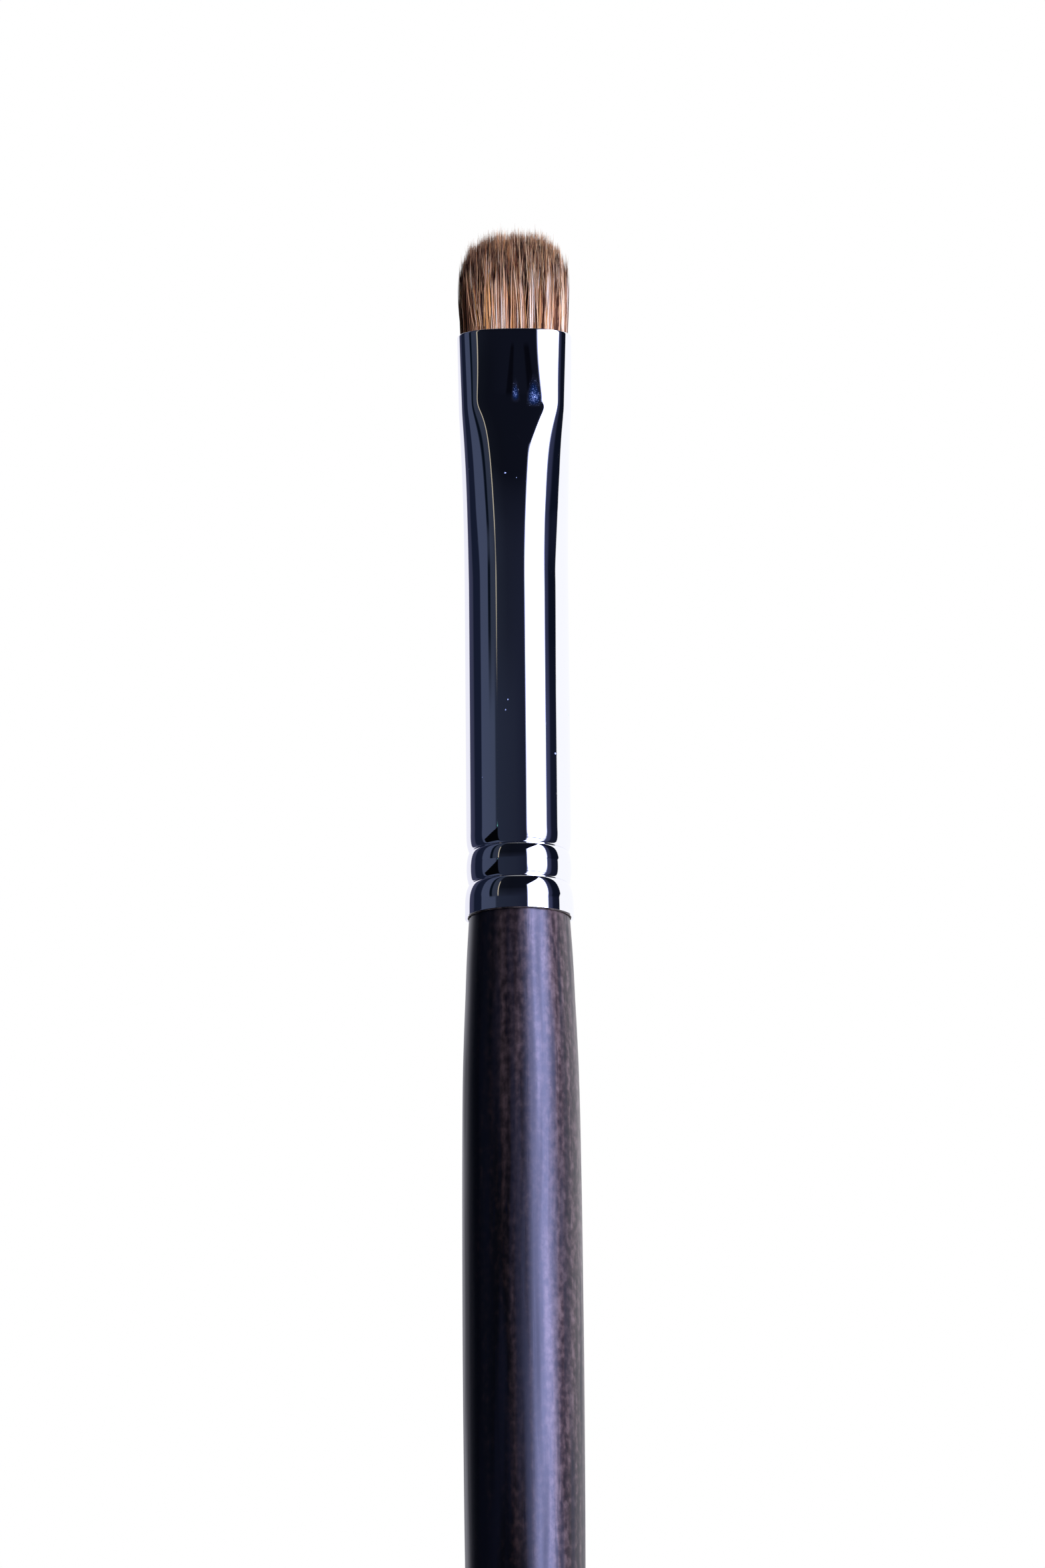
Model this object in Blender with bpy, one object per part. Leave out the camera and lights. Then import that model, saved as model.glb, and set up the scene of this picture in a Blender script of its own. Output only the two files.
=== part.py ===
"""Small highlighter brush: a domed hair tuft in a pressed metal ferrule on a turned wooden handle.

Metres, +Z up. The origin is the centre of the flat on the handle's butt, and the brush runs
along +Z with its hair at the top. The pressed faces of the ferrule look along -Y and +Y.
"""

import math
import random

import bmesh
import bpy
from mathutils import Vector

MM = 0.001

# Lengths along the brush
HANDLE_LENGTH = 117.0 * MM
FERRULE_LENGTH = 43.5 * MM
HAIR_REACH = 8.6 * MM
LIP_HEIGHT = HANDLE_LENGTH
MOUTH_HEIGHT = LIP_HEIGHT + FERRULE_LENGTH

# Ferrule: a drawn tube, round at the lip and pressed to a rounded slot at the mouth
FERRULE_RADIUS = 3.76 * MM
FERRULE_WALL = 0.2 * MM
MOUTH_HALF_WIDTH = 4.18 * MM
MOUTH_HALF_THICKNESS = 2.4 * MM
CREASE_DROP = 5.8 * MM
ROUND_DROP = 19.0 * MM
CREASE_WIDTH_SHARE = 0.78
CREASE_THICKNESS_SHARE = 0.83
MOUTH_FLATNESS_SHARE = 1.0
CREASE_FLATNESS_SHARE = 1.3
WIDTH_FALL_POWER = 2
THICKNESS_FALL_POWER = 4
FLATNESS_FALL_POWER = 5
PRESSED_RING_SHARES = (0.0, 0.5, 1.0)
BLEND_RING_SHARES = (0.08, 0.18, 0.3, 0.45, 0.65, 1.0)

# Lip and rolled crimp grooves, with heights above the lip
LIP_RADIUS = 3.9 * MM
LIP_FLARE_HEIGHT = 2.4 * MM
LIP_RING_SHARES = (0.0, 0.2, 0.45)
LOWER_GROOVE_HEIGHT = 2.4 * MM
LOWER_GROOVE_DEPTH = 0.2 * MM
UPPER_GROOVE_HEIGHT = 4.8 * MM
UPPER_GROOVE_DEPTH = 0.25 * MM
GROOVE_UPPER_RUN = 0.5 * MM
GROOVE_LOWER_RUN = 1.15 * MM
GROOVE_LOWER_SHARES = (1.0, 0.6, 0.3)
GROOVE_UPPER_SHARES = (0.0, 0.5, 1.0)

# Handle, outside the ferrule: height as a share of its length, radius as a share of the belly's
BELLY_RADIUS = 4.27 * MM
HANDLE_PROFILE_SHARES = (
    (0.0, 0.445), (0.003, 0.535), (0.0085, 0.6), (0.018, 0.648), (0.035, 0.676), (0.1, 0.703),
    (0.2, 0.757), (0.3, 0.825), (0.4, 0.895), (0.5, 0.952), (0.6, 0.986), (0.7, 1.0), (0.78, 0.998),
    (0.845, 0.989), (0.895, 0.972), (0.925, 0.947), (0.95, 0.917), (0.97, 0.895), (0.985, 0.872),
    (0.996, 0.849))

# Tenon: it fills the crimped stretch, and above that it is slimmer, to leave room for the glue
TENON_LENGTH = 15.0 * MM
TENON_RADIUS = 3.2 * MM
TENON_CHAMFER = 0.6 * MM
TENON_STEP_RUN = 0.3 * MM

# Clearances between the nested pieces
SEAT_GAP = 0.1 * MM
GLUE_GAP = 0.05 * MM

# Glue film between the tenon and the ferrule
FILM_START_GAP = 0.5 * MM
FILM_END_MARGIN = 1.0 * MM

# Hair root inside the ferrule, with drops measured down from the mouth
ROOT_TOP_DROP = 1.2 * MM
ROOT_NECK_DROP = 8.0 * MM
ROOT_BOUND_DROP = 11.0 * MM
ROOT_KNOT_DROP = 15.8 * MM
ROOT_END_DROP = 17.2 * MM
BOUND_RADIUS = 2.45 * MM
KNOT_RADIUS = 2.75 * MM

# Hair beyond the mouth: section as shares of the root's top, against shares of the reach
TUFT_SECTION_SHARES = (
    (0.0, 1.0, 1.0), (0.22, 1.07, 1.07), (0.43, 1.11, 1.1), (0.64, 1.08, 1.02), (0.8, 1.05, 0.86),
    (1.0, 1.03, 0.64))
SIDE_REACH_SHARE = 0.64
DOME_POWER = 0.54
REACH_SPREAD_SHARE = 0.025
STRAND_COLUMNS = 17
STRAND_ROWS = 9
CELL_JITTER_SHARE = 0.16
STRAND_RING_SHARES = ((0.0, 0.78), (0.45, 0.72), (0.85, 0.5))
STRAND_SEED = 7

# Thread wound round the root
THREAD_RADIUS = 0.15 * MM
THREAD_PITCH = 0.8 * MM
THREAD_TURNS = 5
THREAD_SEAT_GAP = 0.08 * MM
THREAD_START_GAP = 0.3 * MM

# Resin plug cast over the end of the root
PLUG_DEPTH = 3.2 * MM
PLUG_CUP_DEPTH = 1.1 * MM
PLUG_DISH_RADIUS = 2.2 * MM
PLUG_DISH_DEPTH = 0.35 * MM

# Counts and limits for the facets
RING_POINTS = 48
THREAD_TURN_POINTS = 24
THREAD_BEVEL_RESOLUTION = 1
ROUND_DRAW_SHARE = 0.5
FLAT_DRAW_SHARE = 0.0375
ROUND_POWER = 2.0
FLAT_POWER = 2.0
SMOOTH_ANGLE = math.radians(38.0)


def clear_scene():
    """Remove the objects that the scene starts with."""
    for old in list(bpy.data.objects):
        bpy.data.objects.remove(old, do_unlink=True)


def make_material(name, colour, roughness, metallic):
    """A plain Principled BSDF in the piece's colour."""
    material = bpy.data.materials.new(name)
    material.use_nodes = True
    shader = material.node_tree.nodes["Principled BSDF"]
    shader.inputs["Base Color"].default_value = (*colour, 1.0)
    shader.inputs["Roughness"].default_value = roughness
    shader.inputs["Metallic"].default_value = metallic
    material.diffuse_color = (*colour, 1.0)
    return material


def add_object(name, data, material, height):
    """Link a named object for the data, with its origin on the brush's axis at a height."""
    piece = bpy.data.objects.new(name, data)
    piece.location = (0.0, 0.0, height)
    data.materials.append(material)
    bpy.context.collection.objects.link(piece)
    return piece


def finish_mesh(name, mesh, material, height):
    """Turn the edited mesh into a named object, smooth except at its sharp edges."""
    bmesh.ops.recalc_face_normals(mesh, faces=mesh.faces)
    data = bpy.data.meshes.new(name)
    mesh.to_mesh(data)
    mesh.free()
    data.shade_smooth()
    data.set_sharp_from_angle(angle=SMOOTH_ANGLE)
    return add_object(name, data, material, height)


def slot_point(section, across, along):
    """Place a point of the square from -1 to 1 in a section, the square's edge on its outline.

    A section is a half width, a half thickness and a flatness, 0 for an ellipse and 1 for the
    pressed mouth. The ends are drawn in as much as keeps the outline smooth at its corners.
    """
    half_width, half_thickness, flatness = section
    face_draw = ROUND_DRAW_SHARE + FLAT_DRAW_SHARE * flatness
    face_power = ROUND_POWER + FLAT_POWER * flatness
    corner = 2.0 * (1.0 - face_draw) / (face_draw * face_power)
    end_draw = corner / (1.0 + corner)
    x = half_width * across * math.sqrt(1.0 - end_draw * along ** 2)
    y = half_thickness * along * math.sqrt(1.0 - face_draw * abs(across) ** face_power)
    return x, y


def section_ring(section, height):
    """One ring of points round a section."""
    ring = []
    for step in range(RING_POINTS):
        angle = 2.0 * math.pi * step / RING_POINTS
        across = max(-1.0, min(1.0, math.sqrt(2.0) * math.cos(angle)))
        along = max(-1.0, min(1.0, math.sqrt(2.0) * math.sin(angle)))
        ring.append(Vector((*slot_point(section, across, along), height)))
    return ring


def round_section(radius):
    """The section of a round stretch."""
    return radius, radius, 0.0


def loft(name, rings, material, height, wall=False):
    """Join rings of points in order. A wall joins the last ring to the first, a solid is capped."""
    mesh = bmesh.new()
    loops = [[mesh.verts.new(point) for point in ring] for ring in rings]
    pairs = list(zip(loops, loops[1:]))
    if wall:
        pairs.append((loops[-1], loops[0]))
    else:
        mesh.faces.new(reversed(loops[0]))
        mesh.faces.new(loops[-1])
    for lower, upper in pairs:
        for step in range(len(lower)):
            after = (step + 1) % len(lower)
            mesh.faces.new((lower[step], lower[after], upper[after], upper[step]))
    return finish_mesh(name, mesh, material, height)


def groove_dip(offset, depth):
    """How deep a crimp groove is at a height above its bottom: crisp above, rounded below."""
    if offset >= 0.0:
        return depth * max(0.0, 1.0 - offset / GROOVE_UPPER_RUN)
    share = max(0.0, 1.0 + offset / GROOVE_LOWER_RUN)
    return depth * (1.0 - math.cos(0.5 * math.pi * share))


def lip_radius(height):
    """Outer radius of the round end of the ferrule, with its flared lip and two crimp grooves."""
    flare = max(0.0, 1.0 - height / LIP_FLARE_HEIGHT)
    radius = FERRULE_RADIUS + (LIP_RADIUS - FERRULE_RADIUS) * flare ** 2
    radius -= groove_dip(height - LOWER_GROOVE_HEIGHT, LOWER_GROOVE_DEPTH)
    radius -= groove_dip(height - UPPER_GROOVE_HEIGHT, UPPER_GROOVE_DEPTH)
    return radius


def lip_heights():
    """Heights above the lip at which the crimped end has a ring, from the lip upwards."""
    heights = [share * LIP_FLARE_HEIGHT for share in LIP_RING_SHARES]
    for groove in (LOWER_GROOVE_HEIGHT, UPPER_GROOVE_HEIGHT):
        heights += [groove - share * GROOVE_LOWER_RUN for share in GROOVE_LOWER_SHARES]
        heights += [groove + share * GROOVE_UPPER_RUN for share in GROOVE_UPPER_SHARES]
    return sorted(heights)


def pressed_section(drop):
    """Outer section of the ferrule at a drop below its mouth."""
    if drop <= CREASE_DROP:
        share = drop / CREASE_DROP
        width_share = 1.0 + (CREASE_WIDTH_SHARE - 1.0) * share
        thickness_share = 1.0 + (CREASE_THICKNESS_SHARE - 1.0) * share
        flatness = MOUTH_FLATNESS_SHARE + (CREASE_FLATNESS_SHARE - MOUTH_FLATNESS_SHARE) * share
    else:
        left = max(0.0, (ROUND_DROP - drop) / (ROUND_DROP - CREASE_DROP))
        width_share = CREASE_WIDTH_SHARE * left ** WIDTH_FALL_POWER
        thickness_share = CREASE_THICKNESS_SHARE * left ** THICKNESS_FALL_POWER
        flatness = CREASE_FLATNESS_SHARE * left ** FLATNESS_FALL_POWER
    half_width = FERRULE_RADIUS + (MOUTH_HALF_WIDTH - FERRULE_RADIUS) * width_share
    half_thickness = FERRULE_RADIUS + (MOUTH_HALF_THICKNESS - FERRULE_RADIUS) * thickness_share
    return half_width, half_thickness, flatness


def shrunk(section, amount):
    """The same section, smaller all round by an amount."""
    half_width, half_thickness, flatness = section
    return half_width - amount, half_thickness - amount, flatness


def ferrule_sections():
    """Outer sections of the ferrule, each with its height above the lip, from the lip to the mouth."""
    sections = [(height, round_section(lip_radius(height))) for height in lip_heights()]
    drops = [CREASE_DROP + share * (ROUND_DROP - CREASE_DROP) for share in BLEND_RING_SHARES]
    drops += [share * CREASE_DROP for share in PRESSED_RING_SHARES]
    for drop in sorted(drops, reverse=True):
        sections.append((FERRULE_LENGTH - drop, pressed_section(drop)))
    return sections


def make_ferrule(material):
    """Thin tube whose inner wall follows the outer one, crimps included."""
    sections = ferrule_sections()
    outer = [section_ring(section, height) for height, section in sections]
    inner = [section_ring(shrunk(section, FERRULE_WALL), height) for height, section in sections]
    return loft("ferrule", outer + inner[::-1], material, LIP_HEIGHT, wall=True)


def tenon_profile():
    """Radius and height above the lip along the tenon, which fills the crimped stretch."""
    points = []
    for height in lip_heights():
        points.append((lip_radius(height) - FERRULE_WALL - SEAT_GAP, height))
    crimp_top = lip_heights()[-1]
    points.append((TENON_RADIUS, crimp_top + TENON_STEP_RUN))
    points.append((TENON_RADIUS, TENON_LENGTH - TENON_CHAMFER))
    points.append((TENON_RADIUS - TENON_CHAMFER, TENON_LENGTH))
    return points


def make_handle(material):
    """Turned handle: butt, belly and shoulder, then the tenon inside the ferrule."""
    rings = []
    for height_share, radius_share in HANDLE_PROFILE_SHARES:
        section = round_section(radius_share * BELLY_RADIUS)
        rings.append(section_ring(section, height_share * HANDLE_LENGTH))
    for radius, height in tenon_profile():
        rings.append(section_ring(round_section(radius), LIP_HEIGHT + height))
    return loft("handle", rings, material, 0.0)


def make_tenon_glue(material):
    """Film of glue between the tenon and the ferrule, above the crimps."""
    inner = round_section(TENON_RADIUS + GLUE_GAP)
    outer = round_section(FERRULE_RADIUS - FERRULE_WALL - GLUE_GAP)
    low = lip_heights()[-1] + TENON_STEP_RUN + FILM_START_GAP
    high = TENON_LENGTH - FILM_END_MARGIN
    rings = [section_ring(outer, low), section_ring(outer, high),
             section_ring(inner, high), section_ring(inner, low)]
    return loft("tenon_glue", rings, material, LIP_HEIGHT, wall=True)


def make_root_glue(material):
    """Resin plug that fills the ferrule under the hair root and cups the root's end."""
    outer = round_section(FERRULE_RADIUS - FERRULE_WALL - SEAT_GAP)
    cup = round_section(KNOT_RADIUS + SEAT_GAP)
    dish = round_section(PLUG_DISH_RADIUS)
    floor = -ROOT_END_DROP - SEAT_GAP
    rings = [section_ring(dish, floor - PLUG_DEPTH + PLUG_DISH_DEPTH),
             section_ring(outer, floor - PLUG_DEPTH),
             section_ring(outer, floor + PLUG_CUP_DEPTH),
             section_ring(cup, floor + PLUG_CUP_DEPTH),
             section_ring(cup, floor)]
    return loft("root_glue", rings, material, MOUTH_HEIGHT)


def root_top_section():
    """Section of the hair where it leaves the root: the ferrule's bore, less the seat."""
    return shrunk(pressed_section(ROOT_TOP_DROP), FERRULE_WALL + SEAT_GAP)


def root_sections():
    """Sections of the root with their drops below the mouth, from under its top to its end."""
    neck = shrunk(pressed_section(ROOT_NECK_DROP), FERRULE_WALL + SEAT_GAP)
    crease = shrunk(pressed_section(CREASE_DROP), FERRULE_WALL + SEAT_GAP)
    bound = round_section(BOUND_RADIUS)
    knot = round_section(KNOT_RADIUS)
    return ((CREASE_DROP, crease), (ROOT_NECK_DROP, (neck[0], crease[1], neck[2])),
            (ROOT_BOUND_DROP, bound), (ROOT_KNOT_DROP, bound), (ROOT_END_DROP, knot))


def tuft_section(height):
    """Section that the loose hair fills at a height above the mouth, between the named shares."""
    top = root_top_section()
    share = max(0.0, height / HAIR_REACH)
    table = TUFT_SECTION_SHARES
    for (low, low_width, low_depth), (high, high_width, high_depth) in zip(table, table[1:]):
        if share <= high:
            break
    blend = (share - low) / (high - low)
    width = low_width + (high_width - low_width) * blend
    depth = low_depth + (high_depth - low_depth) * blend
    return top[0] * width, top[1] * depth, top[2]


def strand_reach(across, along):
    """Height that a strand reaches: full at the middle, lower at the sides and faces."""
    inside = (1.0 - across ** 2) * (1.0 - along ** 2)
    return HAIR_REACH * (SIDE_REACH_SHARE + (1.0 - SIDE_REACH_SHARE) * inside ** DOME_POWER)


def grow_strand(mesh, cell, unit, spread):
    """Draw one strand up from its cell, through its rings, to a point."""
    middle = sum((corner[unit] for corner in cell.verts), Vector()) / len(cell.verts)
    reach = strand_reach(middle.x, middle.y) + spread
    for height_share, girth_share in STRAND_RING_SHARES:
        height = -ROOT_TOP_DROP + height_share * (reach + ROOT_TOP_DROP)
        section = tuft_section(height)
        cell = bmesh.ops.extrude_discrete_faces(mesh, faces=[cell])["faces"][0]
        centre = Vector((*slot_point(section, middle.x, middle.y), height))
        for corner in cell.verts:
            place = Vector((*slot_point(section, corner[unit].x, corner[unit].y), height))
            corner.co = centre.lerp(place, girth_share)
    tip = bmesh.ops.poke(mesh, faces=[cell])["verts"][0]
    tip.co = Vector((*slot_point(tuft_section(reach), middle.x, middle.y), reach))


def split_cells(mesh):
    """Cut each square cell in two, along the diagonal that points at the middle of the tuft."""
    for cell in list(mesh.faces):
        middle = cell.calc_center_median()
        rise = 1.0 if middle.x * middle.y >= 0.0 else -1.0
        ordered = sorted(cell.verts, key=lambda corner: corner.co.x + rise * corner.co.y)
        bmesh.utils.face_split(cell, ordered[0], ordered[-1])


def make_hair_tuft(material):
    """Bound root with a strand drawn up from each cell of its top, in one closed solid."""
    draw = random.Random(STRAND_SEED)
    mesh = bmesh.new()
    bmesh.ops.create_grid(mesh, x_segments=STRAND_COLUMNS, y_segments=STRAND_ROWS, size=1.0)
    split_cells(mesh)
    unit = mesh.verts.layers.float_vector.new("unit")
    section = root_top_section()
    for corner in mesh.verts:
        across, along, _ = corner.co
        if not corner.is_boundary:
            across += draw.uniform(-1.0, 1.0) * CELL_JITTER_SHARE * 2.0 / STRAND_COLUMNS
            along += draw.uniform(-1.0, 1.0) * CELL_JITTER_SHARE * 2.0 / STRAND_ROWS
        corner[unit] = Vector((across, along, 0.0))
        corner.co = Vector((*slot_point(section, across, along), -ROOT_TOP_DROP))
    cells = list(mesh.faces)
    rim = [edge for edge in mesh.edges if edge.is_boundary]
    for drop, section in root_sections():
        wall = bmesh.ops.extrude_edge_only(mesh, edges=rim)["geom"]
        for corner in (item for item in wall if isinstance(item, bmesh.types.BMVert)):
            corner.co = Vector((*slot_point(section, corner[unit].x, corner[unit].y), -drop))
        rim = [item for item in wall if isinstance(item, bmesh.types.BMEdge) and item.is_boundary]
    bmesh.ops.contextual_create(mesh, geom=rim)
    for cell in cells:
        spread = draw.uniform(-1.0, 1.0) * REACH_SPREAD_SHARE * HAIR_REACH
        grow_strand(mesh, cell, unit, spread)
    mesh.verts.layers.float_vector.remove(unit)
    print("hair_tuft strands:", len(cells))
    return finish_mesh("hair_tuft", mesh, material, MOUTH_HEIGHT)


def thread_route():
    """Points along the winding, one evenly pitched helix over the bound stretch of the root."""
    radius = BOUND_RADIUS + THREAD_SEAT_GAP + THREAD_RADIUS
    start = -ROOT_KNOT_DROP + THREAD_START_GAP + THREAD_RADIUS
    route = []
    for step in range(THREAD_TURNS * THREAD_TURN_POINTS + 1):
        turn = step / THREAD_TURN_POINTS
        angle = 2.0 * math.pi * turn
        height = start + turn * THREAD_PITCH
        route.append(Vector((radius * math.cos(angle), radius * math.sin(angle), height)))
    return route


def least_gap(route, skip, diameter):
    """Smallest clear distance between stretches of the tube that are more than skip points apart."""
    gaps = []
    for index, point in enumerate(route):
        gaps += [(point - other).length - diameter for other in route[index + skip:]]
    return min(gaps)


def make_binding_thread(material):
    """Thread wound round the root: one unbroken tube with filled ends."""
    route = thread_route()
    data = bpy.data.curves.new("binding_thread", "CURVE")
    data.dimensions = "3D"
    data.bevel_depth = THREAD_RADIUS
    data.bevel_resolution = THREAD_BEVEL_RESOLUTION
    data.use_fill_caps = True
    spline = data.splines.new("POLY")
    spline.points.add(len(route) - 1)
    for target, point in zip(spline.points, route):
        target.co = (*point, 1.0)
    clear = least_gap(route, THREAD_TURN_POINTS // 2, 2.0 * THREAD_RADIUS)
    print("binding_thread least gap to itself: %.3f mm" % (clear / MM))
    return add_object("binding_thread", data, material, MOUTH_HEIGHT)


def build_brush():
    """Make the six pieces of the brush."""
    clear_scene()
    make_handle(make_material("dark_lacquered_wood", (0.022, 0.014, 0.012), 0.25, 0.0))
    make_ferrule(make_material("bright_plated_metal", (0.86, 0.86, 0.88), 0.06, 1.0))
    make_hair_tuft(make_material("brown_hair", (0.3, 0.19, 0.12), 0.5, 0.0))
    make_binding_thread(make_material("cotton_thread", (0.75, 0.69, 0.58), 0.8, 0.0))
    make_root_glue(make_material("amber_resin", (0.6, 0.42, 0.18), 0.3, 0.0))
    make_tenon_glue(make_material("cream_glue", (0.78, 0.7, 0.52), 0.45, 0.0))


build_brush()
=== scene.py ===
"""Looks of the small highlighter brush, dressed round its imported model.

Metres, +Z up, hair at the top. The pressed faces of the ferrule look along -Y and +Y.
"""

import math
import random

import bpy
import numpy as np
from mathutils import Matrix, Vector


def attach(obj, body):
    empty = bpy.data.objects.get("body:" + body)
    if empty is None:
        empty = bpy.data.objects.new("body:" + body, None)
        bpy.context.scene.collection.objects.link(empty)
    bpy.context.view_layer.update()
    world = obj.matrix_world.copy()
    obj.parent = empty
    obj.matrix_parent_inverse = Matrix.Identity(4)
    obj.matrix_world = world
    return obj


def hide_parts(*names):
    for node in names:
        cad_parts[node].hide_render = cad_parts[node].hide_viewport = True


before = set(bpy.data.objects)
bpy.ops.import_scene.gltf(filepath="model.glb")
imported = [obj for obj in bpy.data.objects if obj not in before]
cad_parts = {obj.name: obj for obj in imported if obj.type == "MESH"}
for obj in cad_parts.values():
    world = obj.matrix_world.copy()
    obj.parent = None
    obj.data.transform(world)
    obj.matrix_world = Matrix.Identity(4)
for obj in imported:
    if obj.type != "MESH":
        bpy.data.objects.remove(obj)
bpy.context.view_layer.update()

MM = 0.001

# Heights along the brush
LIP_Z = 117.0 * MM
MOUTH_Z = LIP_Z + 43.5 * MM
HAIR_REACH = 8.6 * MM

# Ferrule
TUBE_RADIUS = 3.76 * MM
TUBE_WALL = 0.2 * MM
TUBE_EDGE_BEVEL = 0.035 * MM
LIP_RADIUS = 3.9 * MM
LIP_FLARE = 2.6 * MM
LIP_STRAIGHT = 0.3
LIP_TAPER = 0.06 / MM
RIM_ROLL = 0.13 * MM
RING_POINTS = 96

# Pressed mouth: drops below the mouth, and shares of the mouth's own width and thickness
MOUTH_HALF_WIDTH = 4.18 * MM
MOUTH_HALF_THICKNESS = 2.4 * MM
MOUTH_SQUARENESS = 0.9
CREASE_DROP = 5.8 * MM
CREASE_ROUNDING = 0.5 * MM
CREASE_WIDTH = 0.78
CREASE_THICKNESS = 0.83
CREASE_SQUARENESS = 2.1
ROUND_DROP = 19.0 * MM
END_BLUNTNESS = 0.3
END_BLUNT_FROM = 0.6

# Crimp grooves: height above the lip, depth, and how the metal rolls into them
CRIMPS = ((2.4 * MM, 0.26 * MM), (4.8 * MM, 0.3 * MM))
CRIMP_ROLL_ABOVE = 1.2 * MM
CRIMP_ROLL_BELOW = 1.15 * MM

# Press marks on the front face, painted as a glow of reflected light: middle, drop of the foot, half
# width, rise, strength
PRESS_MARK_GLOWS = ((0.04 * MM, 5.8 * MM, 0.44 * MM, 2.3 * MM, 0.8),
               (1.4 * MM, 6.2 * MM, 0.8 * MM, 3.0 * MM, 1.0))

# Painted dark reflections beside them: middle at the top and foot, half width at the top and foot
DARK_STREAKS = ((-0.14 * MM, -0.42 * MM, 0.12 * MM, 0.27 * MM),
         (0.84 * MM, 1.2 * MM, 0.2 * MM, 0.3 * MM))
DARK_STREAK_TOP_Z = MOUTH_Z - 1.2 * MM
DARK_STREAK_FOOT_Z = MOUTH_Z - 5.1 * MM

# Handle: shares of its height and of its belly's radius, from the butt to the shoulder
BELLY_RADIUS = 4.27 * MM
HANDLE_SHARES = (
    (0.0, 0.445), (0.003, 0.535), (0.0085, 0.6), (0.018, 0.648), (0.035, 0.676), (0.1, 0.703),
    (0.2, 0.757), (0.3, 0.825), (0.4, 0.895), (0.5, 0.952), (0.6, 0.986), (0.7, 1.0), (0.78, 0.998),
    (0.845, 0.989), (0.895, 0.972), (0.925, 0.947), (0.95, 0.917), (0.97, 0.895), (0.985, 0.872),
    (0.998, 0.849))

# Tenon: it follows the crimps up to its step, and is straight above it
TENON_RADIUS = 3.2 * MM
TENON_LENGTH = 15.0 * MM
TENON_GAP = 0.1 * MM
TENON_STEP = 5.5 * MM
TENON_CHAMFER = 0.6 * MM

# Bead of dried glue under the lip
SEAM_RADIUS = 3.665 * MM
SEAM_GIRTH = 0.06 * MM

# Root of the hair inside the ferrule
ROOT_TOP_DROP = 1.2 * MM
ROOT_GAP = 0.1 * MM
ROOT_RIB = 0.05 * MM
ROOT_RIBS = 240
ROOT_PRESSED_DROP = 8.0 * MM
ROOT_PINCH_DROP = 5.8 * MM
ROOT_PINCH_LENGTH = 5.2 * MM
BOUND_RADIUS = 2.45 * MM
# Each station, in millimetres: drop below the mouth and radius
ROOT_STATIONS = ((17.2, 2.75), (16.4, 2.64), (15.6, 2.45), (13.4, 2.45), (11.0, 2.45), (9.4, 2.6),
                 (8.0, 2.8), (6.9, 2.9), (5.8, 3.0), (4.2, 3.0), (2.6, 3.0), (1.4, 3.0))

# Thread wound round the root
THREAD_FOOT_DROP = 15.35 * MM
THREAD_RADIUS = BOUND_RADIUS + 0.23 * MM
THREAD_PITCH = 0.8 * MM
THREAD_TURNS = 5
THREAD_POINTS = 1100
TWISTS_PER_TURN = 26
PLY_COUNT = 3
PLY_RADIUS = 0.075 * MM
PLY_OFFSET = 0.072 * MM

# Hair
HAIR_FOOT_DROP = 1.5 * MM
HAIR_GIRTH = 0.056 * MM
HAIR_SHAFT = ((0.0, 1.0), (0.2, 1.0), (0.36, 1.0), (0.5, 0.93), (0.64, 0.8), (0.78, 0.58), (0.9, 0.32),
              (1.0, 0.05))
HAIR_BANDS = (("hair_front", -1.0, -0.5, 2000), ("hair_mid_front", -0.5, 0.0, 1500),
              ("hair_mid_back", 0.0, 0.5, 1500), ("hair_back", 0.5, 1.0, 2000))
# Locks: columns and rows, and how much one lock's ends, lean and standing differ from another's
SMALL_LOCKS = (20.0, 8.0)
SMALL_ENDS = 0.13
SMALL_LEAN = 0.6 * MM
SMALL_STANDING = 0.14 * MM
LARGE_LOCKS = (8.0, 3.0)
LARGE_ENDS = 0.08
LARGE_LEAN = 0.84 * MM
LARGE_STANDING = 0.16 * MM
LOCK_CLUMP = 0.5
HAIR_LEAN = 0.17 * MM
HAIR_WANDER = 0.07 * MM
STRAY_WANDER = 0.12 * MM
GOLDEN_SHARE = 0.61803398875
STRAYS_ON_FACE = 70
STRAYS_ON_EDGE = 26
CROSSING_HAIRS = 14
# Outline of the tuft, as shares of the hair's reach and of the mouth's section
DOME_FOOT = 0.58
DOME_RISE = 0.395
FACE_LAYERING = 0.28
TUFT_SWELL = 0.07
TUFT_NARROWING = 0.1
TUFT_PUFF = 0.55
TUFT_THINNING = 0.91

# Studio: the room's colours, its lamps and the camera
LEFT_WALL = (0.87, 0.87, 0.95, 1.0)
RIGHT_WALL = (0.99, 1.0, 1.03, 1.0)
WHITE = (1.0, 1.0, 1.0, 1.0)
SOFTBOX_COLOUR = (0.6, 0.65, 1.0, 1.0)
SOFTBOX_RADIANCE = 11.2
FILL_RADIANCE = 0.5
FILL_SIZE = 0.8
FILL_DISTANCE = 1.4
FILL_SIDE = (0.35, -0.8, 0.75)
FILL_AIM = (0.0, 0.0, 0.12)
FLOOR_RADIUS = 3.0
CAMERA_DISTANCE = 470.0 * MM
CAMERA_RISE = 14.0
CAMERA_ROLL = -0.52
CAMERA_LENS = 150.12
CAMERA_AIM = (0.3 * MM, 0.0, 126.9 * MM)


# Shaping tools

def free_hands():
    """Leave edit mode and deselect everything."""
    if bpy.context.mode != "OBJECT":
        bpy.ops.object.mode_set(mode="OBJECT")
    bpy.ops.object.select_all(action="DESELECT")


def take(piece):
    """Select one object alone and make it active."""
    free_hands()
    piece.select_set(True)
    bpy.context.view_layer.objects.active = piece


def apply_modifier(piece, kind, **settings):
    """Add a modifier with these settings and apply it."""
    take(piece)
    modifier = piece.modifiers.new(kind.title(), kind)
    for name, value in settings.items():
        setattr(modifier, name, value)
    bpy.ops.object.modifier_apply(modifier=modifier.name)


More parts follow.
